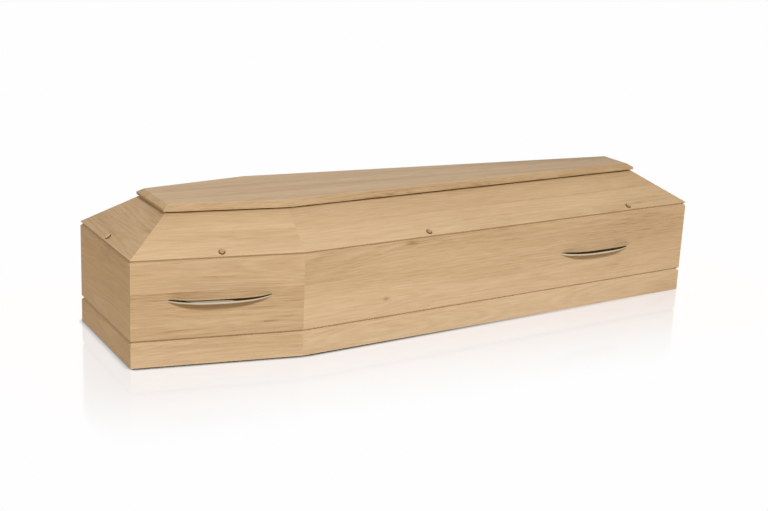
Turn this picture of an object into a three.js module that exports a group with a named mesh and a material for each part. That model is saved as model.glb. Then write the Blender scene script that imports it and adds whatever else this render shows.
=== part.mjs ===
// A wooden coffin with a shoulder: a plinth frame, an upright body and a raised lid of sloping boards
// under a flat top board, with four bow handles and eight lid screws.
// Millimetres, +Z up. The head end is at -X and the foot end at +X; the origin is on the ground, in the middle.
import * as THREE from 'three';

// Plan of the box
const LENGTH = 1900;
const HEAD_WIDTH = 433;
const SHOULDER_WIDTH = 594;
const FOOT_WIDTH = 382;
const HEAD_TO_SHOULDER = 467;

// Heights of the joints
const PLINTH_TOP = 71;
const BODY_TOP = 293;
const SLOPE_TOP = 393;
const TOP_BOARD_THICKNESS = 18.5;

// Boards
const WALL = 22;
const SLOPE_WALL = 20;
const FLOOR_BOARD = 18;
const CHAMFER = 6;
const JOINT_GAP = 0.3;

// Top board: how far its nose stands back from the outline, its overhang past the slopes, its flat
// nose and its bevel
const NOSE_INSET = { head: 131, side: 126, foot: 136 };
const OVERHANG = 12.6;
const NOSE_FLAT = 7.5;
const BEVEL_RUN = 18;

// Bow handles, one on each side board
const HANDLE_LENGTH = 285;
const HANDLE_REACH = 40;
const HANDLE_HEIGHT = 16;
const HANDLE_GAP = 21;
const HANDLE_GAP_SHARE = 0.69;
const HANDLE_TIP = 1.6;
const HANDLE_BOW = 3;
const HANDLE_TAPER = 6.5;
const HANDLE_SECTION_TURN = THREE.MathUtils.degToRad(140);
const HANDLE_LEVEL = 184.5;
const HANDLE_FROM_SHOULDER = { head: 232, foot: 1059 };
const HANDLE_STEPS = 22;
const HANDLE_SECTION_STEPS = 10;

// Lid screws, in domed caps near the lower edge of the slopes
const CAP_RADIUS = 9.5;
const CAP_RIM = 1.6;
const CAP_DOME_RADIUS = 7.6;
const CAP_HEIGHT = 5.4;
const CAP_UP_SLOPE = 15;
const CAP_SEGMENTS = 20;
const CAP_FROM_SHOULDER = { head: [228], foot: [417, 1192] };

const wood = (name, color) => new THREE.MeshStandardMaterial({ name, color, roughness: 0.5, metalness: 0 });
const oak = wood('oak', 0xc8a77f);
const paleOak = wood('oak top board', 0xc3a888);
const chrome = new THREE.MeshStandardMaterial({ name: 'chrome', color: 0xd8dad8, roughness: 0.1, metalness: 1 });
const brass = new THREE.MeshStandardMaterial({ name: 'brass', color: 0x9a7a48, roughness: 0.3, metalness: 1 });

// The outline's corners, counter-clockwise seen from above, and the edge that starts at each of them.
// The right side is the one at -Y.
const corners = [
  [-LENGTH / 2, -HEAD_WIDTH / 2],
  [-LENGTH / 2 + HEAD_TO_SHOULDER, -SHOULDER_WIDTH / 2],
  [LENGTH / 2, -FOOT_WIDTH / 2],
  [LENGTH / 2, FOOT_WIDTH / 2],
  [-LENGTH / 2 + HEAD_TO_SHOULDER, SHOULDER_WIDTH / 2],
  [-LENGTH / 2, HEAD_WIDTH / 2],
].map(([x, y]) => new THREE.Vector3(x, y, 0));
const next = (k) => (k + 1) % corners.length;
const previous = (k) => (k + corners.length - 1) % corners.length;
const edges = [
  { name: 'right_head', part: 'side' },
  { name: 'right_foot', part: 'side' },
  { name: 'foot', part: 'foot' },
  { name: 'left_foot', part: 'side' },
  { name: 'left_head', part: 'side' },
  { name: 'head', part: 'head' },
].map((edge, k) => {
  const along = corners[next(k)].clone().sub(corners[k]);
  const length = along.length();
  along.normalize();
  const inward = new THREE.Vector3(-along.y, along.x, 0);
  return { ...edge, start: corners[k], along, inward, length, angle: Math.atan2(along.y, along.x) };
});

// The corner k of the outline drawn inwards by inset(edge), at height z
function insetCorner(k, inset, z) {
  const before = edges[previous(k)];
  const after = edges[k];
  const turn = before.along.clone().cross(after.along).z;
  const onBefore = before.inward.clone().multiplyScalar(inset(before));
  const onAfter = after.inward.clone().multiplyScalar(inset(after));
  const step = onAfter.clone().sub(onBefore).cross(after.along).z / turn;
  return corners[k].clone().add(onBefore).addScaledVector(before.along, step).setZ(z);
}

// A closed body through rings of points, with a flat face on each end ring. Each ring runs
// counter-clockwise seen from the last ring.
function loft(rings) {
  const count = rings[0].length;
  const last = (rings.length - 1) * count;
  const index = [];
  for (let first = 0; first < last; first += count) {
    for (let i = 0; i < count; i++) {
      const a = first + i;
      const b = first + ((i + 1) % count);
      index.push(a, b, b + count, a, b + count, a + count);
    }
  }
  for (let i = 1; i + 1 < count; i++) {
    index.push(0, i + 1, i, last, last + i, last + i + 1);
  }
  const geometry = new THREE.BufferGeometry().setFromPoints(rings.flat());
  geometry.setIndex(index);
  const faceted = geometry.toNonIndexed();
  faceted.computeVertexNormals();
  return faceted;
}

function mesh(name, geometry, material) {
  const made = new THREE.Mesh(geometry, material);
  made.name = name;
  return made;
}

// A straight board on edge k: a profile of [inset, height] points run along the edge and sawn off at
// both ends by the planes of the mitres. Each plane faces along the outline.
function board(name, k, profile, mitres) {
  const edge = edges[k];
  const toBoard = new THREE.Matrix4().makeRotationZ(edge.angle).setPosition(edge.start).invert();
  const ring = (plane, gap) => {
    const cut = plane.clone().applyMatrix4(toBoard);
    cut.constant -= gap;
    return profile.map(([inset, z]) => {
      const point = new THREE.Vector3(0, inset, z);
      return point.setX(-cut.distanceToPoint(point) / cut.normal.x);
    });
  };
  const ends = [ring(mitres[k], JOINT_GAP / 2), ring(mitres[next(k)], -JOINT_GAP / 2)];
  const made = mesh(name, loft(ends), oak);
  made.position.copy(edge.start);
  made.rotation.z = edge.angle;
  return made;
}

// The plane of the mitre at each corner, through the lines where the boards' outer faces meet
function mitrePlanes(outerNormal, lineEnd) {
  return corners.map((corner, k) => {
    const bisector = outerNormal(edges[previous(k)]).add(outerNormal(edges[k]));
    const hip = lineEnd(k).sub(lineStart(k));
    const normal = bisector.cross(hip).normalize();
    if (normal.dot(edges[k].along) < 0) normal.negate();
    return new THREE.Plane().setFromNormalAndCoplanarPoint(normal, lineStart(k));
  });
}
const up = new THREE.Vector3(0, 0, 1);
const SLOPE_FOOT = BODY_TOP + CHAMFER;
const lineStart = (k) => corners[k].clone().setZ(SLOPE_FOOT);

// Plinth and body: upright boards, chamfered where they meet so that each joint is a V groove
const uprightMitres = mitrePlanes((edge) => edge.inward.clone(), (k) => lineStart(k).add(up));
const plinthProfile = [
  [0, 0],
  [WALL, 0],
  [WALL, PLINTH_TOP],
  [CHAMFER, PLINTH_TOP],
  [0, PLINTH_TOP - CHAMFER],
];
const bodyProfile = [
  [CHAMFER, PLINTH_TOP],
  [WALL, PLINTH_TOP],
  [WALL, BODY_TOP],
  [CHAMFER, BODY_TOP],
  [0, BODY_TOP - CHAMFER],
  [0, PLINTH_TOP + CHAMFER],
];
const plinth = new THREE.Group();
const body = new THREE.Group();
edges.forEach((edge, k) => {
  plinth.add(board(`plinth_${edge.name}`, k, plinthProfile, uprightMitres));
  body.add(board(`body_${edge.name}`, k, bodyProfile, uprightMitres));
});

// The floor board lies inside the plinth, level with its lower edge
const hexagon = (inset, z) => corners.map((corner, k) => insetCorner(k, inset, z));
const insidePlinth = () => WALL + JOINT_GAP;
plinth.add(mesh('floor_board', loft([hexagon(insidePlinth, 0), hexagon(insidePlinth, FLOOR_BOARD)]), oak));

// Lid slopes: they rise from the body's outline to the underside of the top board
const slopeRun = (edge) => NOSE_INSET[edge.part] + OVERHANG;
const slopeRise = SLOPE_TOP - SLOPE_FOOT;
const slopeNormal = (edge) => edge.inward.clone().multiplyScalar(-slopeRise).addScaledVector(up, slopeRun(edge));
const slopeMitres = mitrePlanes(
  (edge) => slopeNormal(edge).normalize(),
  (k) => insetCorner(k, slopeRun, SLOPE_TOP),
);
function slopeProfile(edge) {
  const run = slopeRun(edge);
  const level = (SLOPE_WALL * Math.hypot(run, slopeRise)) / slopeRise;
  return [
    [CHAMFER, BODY_TOP],
    [level - (CHAMFER * run) / slopeRise, BODY_TOP],
    [run + level, SLOPE_TOP],
    [run, SLOPE_TOP],
    [0, SLOPE_FOOT],
  ];
}
const lid = new THREE.Group();
edges.forEach((edge, k) => {
  lid.add(board(`lid_slope_${edge.name}`, k, slopeProfile(edge), slopeMitres));
});

// Top board: it overhangs the slopes, with an upright nose and a broad bevel
const nose = (back) => (edge) => NOSE_INSET[edge.part] + back;
lid.add(mesh(
  'lid_top_board',
  loft([
    hexagon(nose(0), SLOPE_TOP),
    hexagon(nose(0), SLOPE_TOP + NOSE_FLAT),
    hexagon(nose(BEVEL_RUN), SLOPE_TOP + TOP_BOARD_THICKNESS),
  ]),
  paleOak,
));

// Lid screw cap: a low dome on a thin rim, turned about its own axis
function capGeometry() {
  const rise = CAP_HEIGHT - CAP_RIM;
  const sphere = (CAP_DOME_RADIUS ** 2 + rise ** 2) / (2 * rise);
  const half = Math.asin(CAP_DOME_RADIUS / sphere);
  const profile = [new THREE.Vector2(0, 0), new THREE.Vector2(CAP_RADIUS, 0), new THREE.Vector2(CAP_RADIUS, CAP_RIM)];
  const steps = 4;
  for (let i = 0; i < steps; i++) {
    const a = half * (1 - i / steps);
    profile.push(new THREE.Vector2(sphere * Math.sin(a), CAP_HEIGHT - sphere * (1 - Math.cos(a))));
  }
  profile.push(new THREE.Vector2(0, CAP_HEIGHT));
  return new THREE.LatheGeometry(profile, CAP_SEGMENTS);
}

// A place on edge k, with X along the edge and Y inwards
function onEdge(k) {
  const place = new THREE.Group();
  place.position.copy(edges[k].start);
  place.rotation.z = edges[k].angle;
  return place;
}

// Lengths along an edge are stated from its shoulder end, or from its middle on the two end boards
function alongEdge(edge, fromShoulder) {
  const shoulderIsStart = edge.name === 'right_foot' || edge.name === 'left_head';
  return shoulderIsStart ? fromShoulder : edge.length - fromShoulder;
}

edges.forEach((edge, k) => {
  const place = onEdge(k);
  const distances = edge.part === 'side'
    ? CAP_FROM_SHOULDER[edge.name.split('_')[1]].map((distance) => alongEdge(edge, distance))
    : [edge.length / 2];
  const pitch = Math.atan2(slopeRise, slopeRun(edge));
  distances.forEach((distance, i) => {
    const number = distances.length > 1 ? `_${i + 1}` : '';
    const cap = mesh(`lid_screw_${edge.name}${number}`, capGeometry(), brass);
    cap.position.set(
      distance,
      CAP_UP_SLOPE * Math.cos(pitch) - JOINT_GAP * Math.sin(pitch),
      SLOPE_FOOT + CAP_UP_SLOPE * Math.sin(pitch) + JOINT_GAP * Math.cos(pitch),
    );
    cap.rotation.x = Math.PI / 2 + pitch;
    place.add(cap);
  });
  lid.add(place);
});

// Bow handle: a crescent bar. Its pointed feet lie on the board, and its middle stands off it and
// leaves a finger gap. The section is an ellipse cut flat on the side towards the board.
function handleGeometry() {
  const rings = [];
  for (let i = 0; i <= HANDLE_STEPS; i++) {
    const u = Math.sin((Math.PI / 2) * ((2 * i) / HANDLE_STEPS - 1));
    const front = HANDLE_TIP + (HANDLE_REACH - HANDLE_TIP) * (1 - Math.abs(u) ** HANDLE_BOW);
    const back = HANDLE_GAP * Math.max(0, 1 - (u / HANDLE_GAP_SHARE) ** 2);
    const height = HANDLE_TIP + (HANDLE_HEIGHT - HANDLE_TIP) * Math.sqrt(1 - Math.abs(u) ** HANDLE_TAPER);
    rings.push(handleSection((u * HANDLE_LENGTH) / 2, back, front, height));
  }
  return loft(rings);
}

function handleSection(x, back, front, height) {
  const ring = [];
  for (let i = 0; i <= HANDLE_SECTION_STEPS; i++) {
    const a = HANDLE_SECTION_TURN * (1 - (2 * i) / HANDLE_SECTION_STEPS);
    const flat = Math.cos(HANDLE_SECTION_TURN);
    const out = back + ((front - back) * (Math.cos(a) - flat)) / (1 - flat);
    ring.push(new THREE.Vector3(x, -JOINT_GAP - out, (height / 2) * Math.sin(a)));
  }
  return ring;
}

edges.forEach((edge, k) => {
  if (edge.part !== 'side') return;
  const place = onEdge(k);
  const handle = mesh(`handle_${edge.name}`, handleGeometry(), chrome);
  handle.position.set(alongEdge(edge, HANDLE_FROM_SHOULDER[edge.name.split('_')[1]]), 0, HANDLE_LEVEL);
  place.add(handle);
  body.add(place);
});

const coffin = new THREE.Group();
coffin.add(plinth, body, lid);

export default coffin;
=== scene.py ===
"""A wooden coffin in pale oak under a satin varnish, with bow handles and domed lid screws."""

import math

import bmesh
import bpy
import numpy as np
from mathutils import Matrix, Vector


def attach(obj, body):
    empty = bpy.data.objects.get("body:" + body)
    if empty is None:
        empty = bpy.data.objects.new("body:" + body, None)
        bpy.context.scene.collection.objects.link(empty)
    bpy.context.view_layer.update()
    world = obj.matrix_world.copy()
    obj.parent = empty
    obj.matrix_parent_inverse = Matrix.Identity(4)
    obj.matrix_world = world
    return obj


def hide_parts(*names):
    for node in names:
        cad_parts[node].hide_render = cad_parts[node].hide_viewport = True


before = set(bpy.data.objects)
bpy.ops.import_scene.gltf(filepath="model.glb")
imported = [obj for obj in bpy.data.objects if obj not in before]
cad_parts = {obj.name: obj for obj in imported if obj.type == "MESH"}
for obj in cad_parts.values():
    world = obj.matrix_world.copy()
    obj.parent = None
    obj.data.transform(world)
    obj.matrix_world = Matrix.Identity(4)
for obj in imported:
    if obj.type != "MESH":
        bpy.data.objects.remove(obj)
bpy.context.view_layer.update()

# Plinth
# The six lowest boards, mitred at the corners and at the shoulders. Solid pale oak, planed, its
# arrises eased with sandpaper, under a satin varnish. The boards of the body and the lid are alike.
MILLIMETRE = 0.001
UP = Vector((0, 0, 1))
EASED_ARRIS = 0.9 * MILLIMETRE
JOINT_GAP = 0.3 * MILLIMETRE
STAVE = 134 * MILLIMETRE
STAVES_KEPT_FREE = 8
SEAM = 0.9 * MILLIMETRE
RING = 3.5 * MILLIMETRE
RING_WAVE = 10 * MILLIMETRE
PITH_DEPTH = 50 * MILLIMETRE
PITH_DEPTH_SPREAD = 60 * MILLIMETRE
PITH_SIDE_SPREAD = 80 * MILLIMETRE
BELOW_TOP_FACE = (16.5 * MILLIMETRE, 18.4 * MILLIMETRE)

# How often each figure of the wood changes in a metre, along the grain and across it
FIGURES = {
    "wave": (2.6, 9.0),
    "slow": (1.1, 9.0),
    "streak": (2.6, 120.0),
    "fleck": (17.0, 170.0),
    "fibre": (11.0, 420.0),
    "pore": (42.0, 1250.0),
}

# The tone runs from 0 for the darkest wood to 1 for the palest
MEAN_TONE = 0.56
STAVE_SPREAD = 0.06
SLOW_SPREAD = 0.56
STREAK_SPREAD = 0.22
FLECK_SPREAD = 0.32
FIBRE_SPREAD = 0.38
EARLY_DARKER = 0.07
PORES_DARKER = 0.14
SEAM_DARKER = 0.06
OAK_COLOURS = [
    (0.0, (0.140, 0.062, 0.010, 1)),
    (0.30, (0.325, 0.213, 0.112, 1)),
    (0.55, (0.405, 0.280, 0.161, 1)),
    (0.85, (0.485, 0.350, 0.216, 1)),
]


class Wire:
    """A socket of a node tree. Arithmetic on it adds Math nodes to its tree."""

    def __init__(self, tree, socket=None):
        self.tree = tree
        self.socket = socket

    def node(self, kind, settings=None, values=None, output=0):
        """A node of this kind, its settings and the values or links of its sockets, as one output.
        The setting stops fills a colour ramp."""
        made = self.tree.nodes.new(kind)
        for name, value in (settings or {}).items():
            if name == "stops":
                self.fill_ramp(made.color_ramp, value)
            else:
                setattr(made, name, value)
        for name, value in (values or {}).items():
            if isinstance(value, Wire):
                self.tree.links.new(value.socket, made.inputs[name])
            else:
                made.inputs[name].default_value = value
        return Wire(self.tree, made.outputs[output]) if made.outputs else None

    @staticmethod
    def fill_ramp(ramp, stops):
        while len(ramp.elements) < len(stops):
            ramp.elements.new(0.5)
        for element, (place, colour) in zip(ramp.elements, stops):
            element.position = place
            element.color = colour

    def maths(self, operation, *values):
        return self.node("ShaderNodeMath", {"operation": operation}, dict(enumerate(values)))

    def __add__(self, other):
        return self.maths("ADD", self, other)

    def __radd__(self, other):
        return self.maths("ADD", other, self)

    def __sub__(self, other):
        return self.maths("SUBTRACT", self, other)

    def __rsub__(self, other):
        return self.maths("SUBTRACT", other, self)

    def __mul__(self, other):
        return self.maths("MULTIPLY", self, other)

    def __rmul__(self, other):
        return self.maths("MULTIPLY", other, self)

    def __truediv__(self, other):
        return self.maths("DIVIDE", self, other)

    def __rtruediv__(self, other):
        return self.maths("DIVIDE", other, self)

    def __pow__(self, other):
        return self.maths("POWER", self, other)

    def smooth(self, low, high):
        """0 below low and 1 above high, with a smooth step between."""
        values = {"Value": self, "From Min": low, "From Max": high}
        return self.node("ShaderNodeMapRange", {"interpolation_type": "SMOOTHSTEP"}, values)

    def mixed(self, one, other):
        """The colour one where this is 0 and the colour other where it is 1."""
        values = {0: self, 6: one, 7: other}
        return self.node("ShaderNodeMix", {"data_type": "RGBA"}, values, 2)

    def scaled(self, factor):
        """A vector made longer by a factor."""
        return self.node("ShaderNodeVectorMath", {"operation": "SCALE"}, {0: self, "Scale": factor})

    def split(self):
        """The three parts of a vector."""
        parts = self.node("ShaderNodeSeparateXYZ", None, {"Vector": self}).socket.node.outputs
        return [Wire(self.tree, part) for part in parts]

    def vector(self, x, y, z):
        return self.node("ShaderNodeCombineXYZ", None, {"X": x, "Y": y, "Z": z})

    def noise(self, place, detail=2.0, rough=0.5):
        """Noise from 0 to 1 at a place that is already scaled."""
        values = {"Vector": place, "Scale": 1.0, "Detail": detail, "Roughness": rough}
        return self.node("ShaderNodeTexNoise", None, values)


def new_material(name):
    material = bpy.data.materials.new(name)
    material.use_nodes = True
    material.node_tree.nodes.clear()
    return material, Wire(material.node_tree)


def finish_material(start, shader):
    start.node("ShaderNodeOutputMaterial", None, {"Surface": shader})


def oak_material(name, marks=(), bevel=0.0):
    """Oak whose grain runs along X of the attribute board, with Y across the board and Z out of it.
    The attribute log holds the board's number, what is cut off its first stave, and how much darker
    its second stave is.
    Each mark is a dark streak or a band of painted shade: its middle, its half length and half width, and
    its strength.
    The value bevel is how much painted shade darkens the top board's bevel below its flat face."""
    material, start = new_material(name)
    x, y, z = start.node("ShaderNodeAttribute", {"attribute_name": "board"}, None, "Vector").split()
    number, cut, dark = start.node("ShaderNodeAttribute", {"attribute_name": "log"}, None, "Vector").split()

    # Staves glued edge to edge, each from another part of the log
    staves = (y + cut) / STAVE
    stave = start.maths("FLOOR", staves)
    values = {"W": stave + number * STAVES_KEPT_FREE}
    chance = start.node("ShaderNodeTexWhiteNoise", {"noise_dimensions": "1D"}, values, "Color")
    red, green, blue = chance.split()
    along = x + red * 9.0
    across = y + green * 5.0
    from_seam = start.maths("PINGPONG", staves, 0.5) * STAVE
    seam = 1 - from_seam.smooth(0.0, SEAM)

    def figure(kind, detail, rough=0.5):
        """Noise that is drawn out along the grain and fine across it."""
        lengthwise, crosswise = FIGURES[kind]
        place = start.vector(along * lengthwise, across * crosswise, z * crosswise)
        return start.noise(place, detail, rough)

    # Growth rings round a pith that lies behind the face and wanders along the stave
    drift = start.noise(start.vector(along * 0.9, green * 30.0, 0.0), 1.0)
    wave = figure("wave", 2.0)
    off_pith = y + cut - (stave + 0.5) * STAVE + (green - 0.5) * PITH_SIDE_SPREAD
    depth = z + PITH_DEPTH + (blue + drift - 0.5) * PITH_DEPTH_SPREAD
    radius = (off_pith * off_pith + depth * depth) ** 0.5 + (wave - 0.5) * RING_WAVE
    ring_wave = start.noise(start.vector(along * 0.7, radius * 60.0, 3.0), 1.0)
    ring = start.maths("FRACT", radius / RING + ring_wave * 3.0)
    early = ring.smooth(0.0, 0.22) * (1 - ring.smooth(0.38, 0.95))

    # Fibres, pores and slow changes of tone
    slow = figure("slow", 2.0)
    streak = figure("streak", 3.0, 0.6)
    fleck = figure("fleck", 2.0, 0.6)
    fibre = figure("fibre", 2.0, 0.6)
    pores = figure("pore", 1.0).smooth(0.6, 0.74) * (0.25 + 0.75 * early)

    tone = MEAN_TONE + (red - 0.5) * STAVE_SPREAD - stave * dark
    tone = tone + (slow - 0.5) * SLOW_SPREAD + (streak - 0.5) * STREAK_SPREAD
    tone = tone + (fleck - 0.5) * FLECK_SPREAD + (fibre - 0.5) * FIBRE_SPREAD
    tone = tone - early * EARLY_DARKER - pores * PORES_DARKER - seam * SEAM_DARKER
    for middle_x, middle_y, half_length, half_width, strength in marks:
        from_x = (x - middle_x) / half_length
        from_y = (y - middle_y) / half_width
        tone = tone - start.maths("EXPONENT", (from_x * from_x + from_y * from_y) * -1.0) * strength
    # Painted shade on the top board's bevel, below its flat face
    if bevel:
        tone = tone - (1 - z.smooth(*BELOW_TOP_FACE)) * bevel
    colour = start.node("ShaderNodeValToRGB", {"stops": OAK_COLOURS}, {"Fac": tone})
    rough = 0.45 + pores * 0.12 + (streak - 0.5) * 0.1
    height = fibre * 0.3 - pores
    bump = start.node("ShaderNodeBump", None, {"Strength": 0.12, "Distance": 0.0004, "Height": height})
    values = {"Base Color": colour, "Roughness": rough, "Normal": bump, "Specular IOR Level": 0.12}
    finish_material(start, start.node("ShaderNodeBsdfPrincipled", None, values))
    return material


def board_axes(mesh):
    """The directions along a board, across it and out of its face, found from its largest face of
    those that look neither downwards nor towards the middle of the coffin."""
    middle = sum((v.co for v in mesh.vertices), Vector()) / len(mesh.vertices)
    normals = {}
    for face in mesh.polygons:
        key = tuple(round(c, 3) for c in face.normal)
        normals[key] = normals.get(key, 0) + face.area
    outer = [n for n in normals if n[2] > 0.5 or n[2] > -0.5 and n[0] * middle.x + n[1] * middle.y > 0]
    out = Vector(max(outer, key=lambda n: normals[n])).normalized()
    along = UP.cross(out).normalized() if out.z < 0.99 else Vector((1, 0, 0))
    if along.x < -1e-6 or (abs(along.x) < 1e-6 and along.y < 0):
        along.negate()
    across = out.cross(along)
    if across.z <= -1e-6:
        across.negate()
    return along, across, out


def in_axes(mesh, axes):
    """A mesh's points measured along the given axes."""
    points = np.array([v.co for v in mesh.vertices])
    return points @ np.array(axes).T


def dressed_board(node, number, material, first_stave=STAVE, dark=0.0, ease_ends=False):
    """A copy of a board with eased arrises and tight mitres, and each point's place in the wood.
    With ease_ends, its ends are eased too and stay where they are."""
    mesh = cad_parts[node].data
    axes = board_axes(mesh)
    low = in_axes(mesh, axes).min(axis=0)
    made = bmesh.new()
    made.from_mesh(mesh)
    bmesh.ops.remove_doubles(made, verts=made.verts, dist=1e-6)
    bmesh.ops.dissolve_limit(made, angle_limit=math.radians(0.2), verts=made.verts, edges=made.edges)
    sawn = {f for f in made.faces if abs(f.normal.dot(axes[0])) > 0.1}
    if not ease_ends:
        for face in sawn:
            closed = axes[0] * (JOINT_GAP / 2 / face.normal.dot(axes[0]))
            bmesh.ops.translate(made, verts=face.verts, vec=closed)
    arrises = [e for e in made.edges if ease_ends or not sawn.intersection(e.link_faces)]
    bmesh.ops.bevel(
        made,
        geom=arrises,
        offset=EASED_ARRIS,
        segments=3,
        profile=0.5,
        affect="EDGES",
        offset_type="OFFSET",
    )
    dressed = bpy.data.meshes.new(node + "_dressed")
    made.to_mesh(dressed)
    made.free()
    places = in_axes(dressed, axes) - low
    board = dressed.attributes.new("board", "FLOAT_VECTOR", "POINT")
    board.data.foreach_set("vector", places.astype(np.float32).ravel())
    log = dressed.attributes.new("log", "FLOAT_VECTOR", "POINT")
    log.data.foreach_set("vector", [number, STAVE - first_stave, dark] * len(places))
    piece = bpy.data.objects.new(node + "_dressed", dressed)
    bpy.context.scene.collection.objects.link(piece)
    dressed.materials.append(material)
    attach(piece, "root")
    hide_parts(node)
    return piece


EDGES = ("right_head", "right_foot", "foot", "left_foot", "left_head", "head")
oak = oak_material("oak")
for number, edge in enumerate(EDGES):
    dressed_board("plinth_" + edge, 1 + number, oak)

# Floor board
# One wide glued oak board that lies inside the plinth, level with its lower edge.
dressed_board("floor_board", 10, oak, ease_ends=True)

# Body
# Six upright boards on the plinth, chamfered at both edges so that each joint is a V groove.
BODY_MARKS = {
    "right_head": [
        (0.37, 0.039, 0.03, 0.004, 0.16),
        (0.10, 0.029, 0.12, 0.008, 0.12),
        (0.23, 0.110, 2.0, 2.0, 0.15),
    ],
    "right_foot": [
        (0.35, 0.213, 0.02, 0.008, 0.16),
        (0.27, 0.057, 0.012, 0.006, 0.35),
        (1.28, 0.185, 0.22, 0.050, 0.12),
        (1.50, 0.100, 0.40, 0.300, 0.02),
    ],
}
BODY_SECOND_STAVE = {"right_head": -0.02, "right_foot": 0.10}
for number, edge in enumerate(EDGES):
    marks = BODY_MARKS.get(edge)
    material = oak_material("oak body " + edge, marks) if marks else oak
    dressed_board("body_" + edge, 20 + number, material, dark=BODY_SECOND_STAVE.get(edge, 0.05))

# Lid slopes
# Six sloping boards, mitred along the hips, which rest on the body's upper edge. A band of painted
# shade darkens the narrow angle under the top board's nose, less so at the head end.
SLOPE_WIDTH = {"head": 171.6 * MILLIMETRE, "foot": 175.8 * MILLIMETRE}
SLOPE_SIDE_WIDTH = 167.5 * MILLIMETRE
SHADE_WIDTH = 4 * MILLIMETRE
SHADE_STRENGTH = {"head": 0.10}
SHADE_SIDE_STRENGTH = 0.66
SLOPE_FIRST_STAVE = 88 * MILLIMETRE
SLOPE_MARKS = {
    "head": [
        (0.20, 0.090, 2.0, 2.000, 0.08),
    ],
    "right_head": [
        (0.25, 0.160, 2.0, 0.050, 0.17),
    ],
    "right_foot": [
        (0.85, 0.088, 0.40, 0.002, 0.15),
        (1.40, 0.080, 0.30, 0.300, 0.07),
    ],
}
SLOPE_SECOND_STAVE = {"right_foot": 0.15, "right_head": 0.05, "head": 0.05}
for number, edge in enumerate(EDGES):
    # A band of painted shade along each slope's upper edge, under the top board's nose
    shade_middle = SLOPE_WIDTH.get(edge, SLOPE_SIDE_WIDTH) - SHADE_WIDTH
    strength = SHADE_STRENGTH.get(edge, SHADE_SIDE_STRENGTH)
    shade = (0.0, shade_middle, 50.0, SHADE_WIDTH, strength)
    material = oak_material("oak slope " + edge, [shade] + SLOPE_MARKS.get(edge, []))
    dark = SLOPE_SECOND_STAVE.get(edge, 0.03)
    dressed_board("lid_slope_" + edge, 30 + number, material, SLOPE_FIRST_STAVE, dark)

# Top board
# A flat six-sided oak board that lies on the slopes and overhangs them, with a narrow upright nose
# and a broad bevel, which painted shade makes a little darker than its flat face.
TOP_BEVEL_PAINTED_SHADE = 0.14
TOP_MARKS = [
    (1.60, 0.200, 0.50, 1.000, 0.14),
    (0.30, 0.215, 0.45, 0.010, 0.14),
    (0.75, 0.150, 0.50, 0.012, 0.16),
    (0.35, 0.120, 0.30, 0.008, 0.13),
    (1.10, 0.240, 0.40, 0.010, 0.14),
    (1.25, 0.110, 0.45, 0.014, 0.12),
]
top_oak = oak_material("oak top board", TOP_MARKS, TOP_BEVEL_PAINTED_SHADE)
dressed_board("lid_top_board", 40, top_oak, ease_ends=True)

# Lid screws
# A turned brass cap over each screw, a low dome on a thin rim, pressed on near the slope's lower edge.
CAP_RINGS = 28
CAP_SIDES = 40
CAP_RIM_SHARE = 0.25
CAP_DOME_SHARE = 0.82
CAP_RIM_HEIGHT = 1.6 * MILLIMETRE


def brass_material():
    """Brass, polished on the dome and dark at the rim with painted shade, by the attribute dome."""
    material, start = new_material("brass")
    place = start.node("ShaderNodeTexCoord", None, None, "Object")
    mottle = start.noise(place.scaled(400.0))
    dome = start.node("ShaderNodeAttribute", {"attribute_name": "dome"}, None, "Fac")
    # The dark colour at the rim is painted shade round the cap's foot; the polish also makes the dome
    # smoother
    polished_and_unshaded = dome.smooth(0.30, 0.62) * (0.8 + mottle * 0.4)
    colour = polished_and_unshaded.mixed((0.17, 0.085, 0.030, 1), (0.62, 0.42, 0.22, 1))
    values = {"Base Color": colour, "Metallic": 0.6, "Roughness": 0.50 - polished_and_unshaded * 0.10}
    finish_material(start, start.node("ShaderNodeBsdfPrincipled", None, values))
    return material


brass = brass_material()


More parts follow.
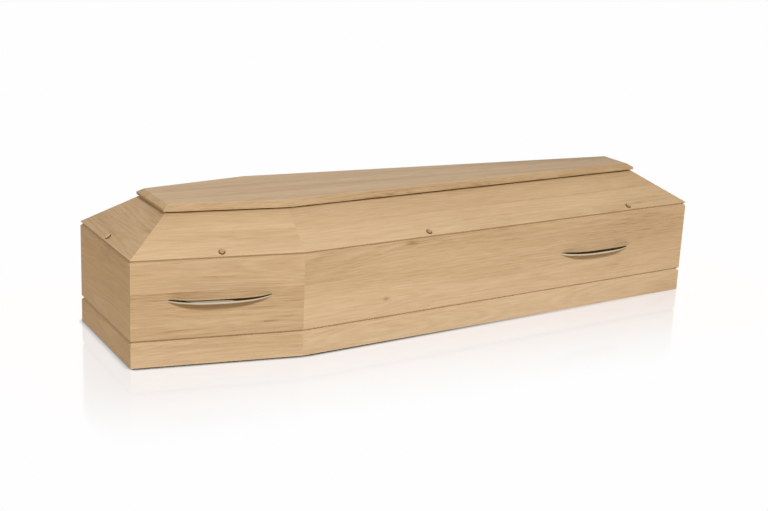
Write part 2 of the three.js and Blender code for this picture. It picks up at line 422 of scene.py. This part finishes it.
def cap_tree():
    """Turns a line into a domed cap and sets one on each point, facing the way that the point says."""
    tree = bpy.data.node_groups.new("lid screw caps", "GeometryNodeTree")
    for name, kind, way in (
        ("Geometry", "NodeSocketGeometry", "INPUT"),
        ("Radius", "NodeSocketFloat", "INPUT"),
        ("Height", "NodeSocketFloat", "INPUT"),
        ("Rim", "NodeSocketFloat", "INPUT"),
        ("Material", "NodeSocketMaterial", "INPUT"),
        ("Geometry", "NodeSocketGeometry", "OUTPUT"),
    ):
        tree.interface.new_socket(name, in_out=way, socket_type=kind)
    start = Wire(tree)
    points = start.node("NodeGroupInput", None, None, "Geometry")
    inputs = points.socket.node.outputs
    radius, height, rim = (Wire(tree, inputs[name]) for name in ("Radius", "Height", "Rim"))
    line = start.node("GeometryNodeCurvePrimitiveLine", None, {"End": (0, 0, 1)})
    line = start.node("GeometryNodeResampleCurve", None, {"Curve": line, "Count": CAP_RINGS})
    share = start.node("GeometryNodeSplineParameter", None, None, "Factor")
    rim_turn = start.maths("MINIMUM", share / CAP_RIM_SHARE, 1.0) * (math.pi / 2)
    dome_turn = start.maths("MAXIMUM", (share - CAP_RIM_SHARE) / (1 - CAP_RIM_SHARE), 0.0) * (math.pi / 2)
    rim_rise = start.maths("SINE", rim_turn) * rim
    dome_rise = start.maths("SINE", dome_turn) * (height - rim)
    wide = start.maths("COSINE", rim_turn) * (1 - CAP_DOME_SHARE)
    wide = wide + start.maths("COSINE", dome_turn) * CAP_DOME_SHARE
    place = start.vector(0.0, 0.0, rim_rise + dome_rise)
    line = start.node("GeometryNodeSetPosition", None, {"Geometry": line, "Position": place})
    values = {"Geometry": line, "Name": "dome", "Value": share}
    line = start.node("GeometryNodeStoreNamedAttribute", {"data_type": "FLOAT", "domain": "POINT"}, values)
    circle = start.node("GeometryNodeCurvePrimitiveCircle", None, {"Resolution": CAP_SIDES, "Radius": 1.0})
    values = {"Curve": line, "Profile Curve": circle, "Scale": wide * radius, "Fill Caps": True}
    cap = start.node("GeometryNodeCurveToMesh", None, values)
    cap = start.node("GeometryNodeMergeByDistance", None, {"Geometry": cap, "Distance": 1e-5})
    smooth = start.node("GeometryNodeSetShadeSmooth", None, {"Geometry": cap})
    settings = {"data_type": "FLOAT_VECTOR"}
    facing = start.node("GeometryNodeInputNamedAttribute", settings, {"Name": "facing"})
    turn = start.node("FunctionNodeAlignRotationToVector", {"axis": "Z"}, {"Vector": facing})
    values = {"Points": points, "Instance": smooth, "Rotation": turn}
    caps = start.node("GeometryNodeInstanceOnPoints", None, values)
    caps = start.node("GeometryNodeRealizeInstances", None, {"Geometry": caps})
    material = Wire(tree, inputs["Material"])
    caps = start.node("GeometryNodeSetMaterial", None, {"Geometry": caps, "Material": material})
    start.node("NodeGroupOutput", None, {"Geometry": caps})
    return tree


def set_input(modifier, name, value):
    """Sets the input of that name by its identifier."""
    for item in modifier.node_group.interface.items_tree:
        if item.name == name and item.in_out == "INPUT":
            modifier[item.identifier] = value


def plain_mesh(piece, name):
    """Turns what the modifiers make into the piece's own mesh, and removes them."""
    graph = bpy.context.evaluated_depsgraph_get()
    made = bpy.data.meshes.new_from_object(piece.evaluated_get(graph))
    made.name = name
    piece.modifiers.clear()
    piece.data = made


caps = [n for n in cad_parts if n.startswith("lid_screw_")]
cap_points = []
cap_facings = []
for node in caps:
    slope_edge = node[len("lid_screw_"):].rstrip("_12")
    axes = board_axes(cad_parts["lid_slope_" + slope_edge].data)
    points = in_axes(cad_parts[node].data, axes)
    low, high = points.min(axis=0), points.max(axis=0)
    middle = (low + high) / 2
    cap_points.append(axes[0] * middle[0] + axes[1] * middle[1] + axes[2] * low[2])
    cap_facings.append(axes[2])
    cap_size = high - low
mesh = bpy.data.meshes.new("lid_screws")
mesh.from_pydata([tuple(p) for p in cap_points], [], [])
mesh.attributes.new("facing", "FLOAT_VECTOR", "POINT").data.foreach_set(
    "vector", [c for facing in cap_facings for c in facing]
)
lid_screws = bpy.data.objects.new("lid_screws", mesh)
bpy.context.scene.collection.objects.link(lid_screws)
modifier = lid_screws.modifiers.new("caps", "NODES")
modifier.node_group = cap_tree()
set_input(modifier, "Radius", float(cap_size[0]) / 2)
set_input(modifier, "Height", float(cap_size[2]))
set_input(modifier, "Rim", CAP_RIM_HEIGHT)
set_input(modifier, "Material", brass)
plain_mesh(lid_screws, "lid_screws")
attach(lid_screws, "root")
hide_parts(*caps)

# Bow handles
# Cast crescents, chrome plated and polished. Their pointed feet are bolted to the side boards from
# inside, and the middle stands off the board and leaves a finger gap.
HANDLE_GAP = 21 * MILLIMETRE
HANDLE_GAP_SHARE = 0.69
HANDLE_TIP = 1.6 * MILLIMETRE
HANDLE_BOW = 3
HANDLE_TAPER = 6.5
HANDLE_SECTION_TURN = math.radians(140)
HANDLE_STEPS = 72
HANDLE_SIDES = 36

# How far the rounder bow would stand out past the flat facets of the CAD handle
ROUNDER_THAN_CAD = 0.15 * MILLIMETRE


def chrome_material():
    """Polished chrome with a faint haze."""
    material, start = new_material("chrome")
    place = start.node("ShaderNodeTexCoord", None, None, "Object")
    haze = start.noise(place.scaled(60.0))
    values = {"Base Color": (0.97, 0.95, 0.91, 1), "Metallic": 1.0, "Roughness": 0.06 + haze * 0.06}
    finish_material(start, start.node("ShaderNodeBsdfPrincipled", None, values))
    return material


chrome = chrome_material()


def handle_mesh(name, half_length, reach, height):
    """A crescent in its own axes: X along it, Y off the board and Z up."""
    made = bmesh.new()
    rings = []
    flat = math.cos(HANDLE_SECTION_TURN)
    for i in range(HANDLE_STEPS + 1):
        u = math.sin(math.pi / 2 * (2 * i / HANDLE_STEPS - 1))
        front = HANDLE_TIP + (reach - HANDLE_TIP) * (1 - abs(u) ** HANDLE_BOW)
        back = HANDLE_GAP * max(0.0, 1 - (u / HANDLE_GAP_SHARE) ** 2)
        tall = HANDLE_TIP + (height - HANDLE_TIP) * math.sqrt(1 - abs(u) ** HANDLE_TAPER)
        ring = []
        for j in range(HANDLE_SIDES + 1):
            a = HANDLE_SECTION_TURN * (1 - 2 * j / HANDLE_SIDES)
            out = back + (front - back) * (math.cos(a) - flat) / (1 - flat)
            ring.append(made.verts.new((u * half_length, out, tall / 2 * math.sin(a))))
        rings.append(ring)
    for before, after in zip(rings, rings[1:]):
        for j in range(len(before)):
            k = (j + 1) % len(before)
            made.faces.new((before[j], after[j], after[k], before[k]))
    made.faces.new(rings[0])
    made.faces.new(rings[-1])
    bmesh.ops.recalc_face_normals(made, faces=made.faces)
    mesh = bpy.data.meshes.new(name)
    made.to_mesh(mesh)
    made.free()
    mesh.polygons.foreach_set("use_smooth", [len(f.vertices) == 4 for f in mesh.polygons])
    return mesh


for node in sorted(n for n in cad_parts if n.startswith("handle_")):
    axes = board_axes(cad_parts["body_" + node[len("handle_"):]].data)
    points = in_axes(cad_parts[node].data, axes)
    low, high = points.min(axis=0), points.max(axis=0)
    size = high - low
    reach = size[2] - ROUNDER_THAN_CAD
    mesh = handle_mesh(node + "_polished", size[0] / 2, reach, size[1])
    origin = axes[0] * (low[0] + high[0]) / 2 + axes[1] * (low[1] + high[1]) / 2 + axes[2] * low[2]
    turn = Matrix([axes[0], axes[2], axes[1]]).transposed().to_4x4()
    mesh.transform(Matrix.Translation(origin) @ turn)
    if turn.determinant() < 0:
        mesh.flip_normals()
    piece = bpy.data.objects.new(node + "_polished", mesh)
    bpy.context.scene.collection.objects.link(piece)
    mesh.materials.append(chrome)
    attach(piece, "root")
    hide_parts(node)

# Studio
# A white floor with a faint sheen near the coffin, even light from all round, one soft lamp in front
# and above, and a weak one beyond the head end.
FLOOR_SIZE = 60
PAPER_WHITE = (0.991, 0.991, 0.991, 1)
PAPER_LIGHT = (1.0, 0.90, 0.79, 1)
PAPER_MIRRORED = (0.66, 0.57, 0.43, 1)
ROOM_MIRRORED = (0.035, 0.022, 0.012, 1)
CONTACT_REACH = 26 * MILLIMETRE
CONTACT_SHADOW_COLOUR = (0.03, 0.025, 0.02, 1)
SHEEN_HALF = (0.90, 0.22)
SHEEN_REACH = 0.56
SHEEN_STRENGTH = 1.5
PAPER_HALF = (1.5, 2.3)
PAPER_EDGE = 0.4


def outside(start, x, y, half_length, half_width):
    """How far a place lies outside a rectangle round the origin."""
    past_end = start.maths("MAXIMUM", start.maths("ABSOLUTE", x) - half_length, 0.0)
    past_side = start.maths("MAXIMUM", start.maths("ABSOLUTE", y) - half_width, 0.0)
    return (past_end * past_end + past_side * past_side) ** 0.5


def floor_material():
    """White to the camera, with a faint mirror image near the coffin and a painted contact shadow, a dark
    line where it touches.
    It lights the wood a little warmer, and the metal mirrors it as a warm grey."""
    material, start = new_material("studio floor")
    x, y, _ = start.node("ShaderNodeTexCoord", None, None, "Object").split()
    fade = 1 - outside(start, x, y, *SHEEN_HALF).smooth(0.0, SHEEN_REACH)
    gloss = start.node("ShaderNodeFresnel", None, {"IOR": 1.5}) * fade * SHEEN_STRENGTH
    settings = {"samples": 8}
    # Painted contact shadow: a dark line where the coffin stands, from occlusion, weaker past the head end
    # and fading towards the foot
    open_share = start.node("ShaderNodeAmbientOcclusion", settings, {"Distance": CONTACT_REACH}, "AO")
    painted_contact_shadow = 1 - open_share.smooth(0.62, 0.92)
    fades_to_foot = 1 - x.smooth(-0.4, 1.2)
    weak_past_head_end = 0.45 + x.smooth(-0.956, -0.946) * 0.55
    line = painted_contact_shadow * fades_to_foot * weak_past_head_end
    gloss = gloss * (1 - line)
    seen = line.mixed(PAPER_WHITE, CONTACT_SHADOW_COLOUR)
    past_paper = outside(start, x, y, *PAPER_HALF).smooth(0.0, PAPER_EDGE)
    mirrored = past_paper.mixed(PAPER_MIRRORED, ROOM_MIRRORED)
    by_camera = start.node("ShaderNodeLightPath", None, None, "Is Camera Ray")
    by_mirror = Wire(start.tree, by_camera.socket.node.outputs["Is Glossy Ray"])
    colour = by_camera.mixed(by_mirror.mixed(PAPER_LIGHT, mirrored), seen)
    glow = start.node("ShaderNodeEmission", None, {"Color": colour})
    values = {"Color": (1.15, 1.0, 0.95, 1), "Roughness": 0.1}
    mirror = start.node("ShaderNodeBsdfGlossy", None, values)
    finish_material(start, start.node("ShaderNodeMixShader", None, {0: gloss, 1: glow, 2: mirror}))
    return material


bpy.ops.mesh.primitive_plane_add(size=FLOOR_SIZE)
floor = bpy.context.object
floor.name = "studio_floor"
floor.data.materials.append(floor_material())

SCREEN_CORNERS = ((-1.85, -2.6, 0.3), (-0.45, -2.6, 0.3), (-0.45, -1.1, 2.4), (-1.85, -1.1, 2.4))
SCREEN_GLOW = (0.42, 0.38, 0.30, 1)


def studio_screen():
    """A pale screen to the right of the head end, which shows in reflections only."""
    mesh = bpy.data.meshes.new("studio_screen")
    mesh.from_pydata(SCREEN_CORNERS, [], [(0, 1, 2, 3)])
    material, start = new_material("studio screen")
    finish_material(start, start.node("ShaderNodeEmission", None, {"Color": SCREEN_GLOW}))
    mesh.materials.append(material)
    screen = bpy.data.objects.new("studio_screen", mesh)
    bpy.context.scene.collection.objects.link(screen)
    screen.visible_camera = False
    screen.visible_diffuse = False
    screen.visible_shadow = False
    return screen


studio_screen()

EVEN_LIGHT = (0.655, 0.588, 0.487, 1)
WALL_FOOT = math.radians(115)
WALL_FULL = math.radians(125)


def studio_world():
    """Even light, and in reflections a dark room with white walls behind the coffin."""
    world = bpy.data.worlds.new("studio")
    world.use_nodes = True
    world.node_tree.nodes.clear()
    start = Wire(world.node_tree)
    x, y, z = start.node("ShaderNodeTexCoord", None, None, "Generated").split()
    over = start.maths("ARCTAN2", z, y * -1.0)
    wall = over.smooth(WALL_FOOT, WALL_FULL)
    mirrored = wall.mixed(ROOM_MIRRORED, PAPER_WHITE)
    by_camera = start.node("ShaderNodeLightPath", None, None, "Is Camera Ray")
    by_mirror = Wire(start.tree, by_camera.socket.node.outputs["Is Glossy Ray"])
    colour = by_camera.mixed(by_mirror.mixed(EVEN_LIGHT, mirrored), PAPER_WHITE)
    light = start.node("ShaderNodeBackground", None, {"Color": colour})
    start.node("ShaderNodeOutputWorld", None, {"Surface": light})
    return world


bpy.context.scene.world = studio_world()


def lamp(name, place, aim, size, power, colour):
    """A round soft lamp at a place, turned towards a point, which no surface mirrors."""
    data = bpy.data.lights.new(name, "AREA")
    data.shape = "DISK"
    data.size = size
    data.energy = power
    data.color = colour
    made = bpy.data.objects.new(name, data)
    bpy.context.scene.collection.objects.link(made)
    made.location = place
    made.rotation_euler = (Vector(place) - Vector(aim)).to_track_quat("Z", "Y").to_euler()
    made.visible_glossy = False


lamp(
    "key_lamp",
    place=(-0.75, -6.6, 4.7),
    aim=(-0.2, 0, 0.2),
    size=1.1,
    power=697,
    colour=(0.93, 1.0, 1.10),
)
lamp(
    "fill_lamp",
    place=(-2.6, -0.4, 1.0),
    aim=(-0.9, 0, 0.3),
    size=1.2,
    power=9,
    colour=(1.0, 0.93, 0.82),
)

bpy.context.scene.view_settings.view_transform = "Standard"
bpy.context.scene.view_settings.look = "None"

# Camera
# It stands beyond the head end on the right side, a little above the lid, and leans slightly.
CAMERA_PLACE = (-2.0369, -3.4533, 1.3035)
CAMERA_AZIMUTH = -0.517881
CAMERA_ELEVATION = 0.278553
CAMERA_ROLL = 0.045452
FOCAL_LENGTH_PIXELS = 1349.0
PICTURE_WIDTH = 768
SENSOR_WIDTH = 36
back = Vector((
    math.sin(CAMERA_AZIMUTH) * math.cos(CAMERA_ELEVATION),
    -math.cos(CAMERA_AZIMUTH) * math.cos(CAMERA_ELEVATION),
    math.sin(CAMERA_ELEVATION),
))
right = UP.cross(back).normalized()
camera_data = bpy.data.cameras.new("camera")
camera_data.sensor_width = SENSOR_WIDTH
camera_data.lens = FOCAL_LENGTH_PIXELS * SENSOR_WIDTH / PICTURE_WIDTH
camera = bpy.data.objects.new("camera", camera_data)
bpy.context.scene.collection.objects.link(camera)
level = Matrix([right, back.cross(right), back]).transposed().to_4x4()
camera.matrix_world = Matrix.Translation(CAMERA_PLACE) @ level @ Matrix.Rotation(CAMERA_ROLL, 4, "Z")
bpy.context.scene.camera = camera
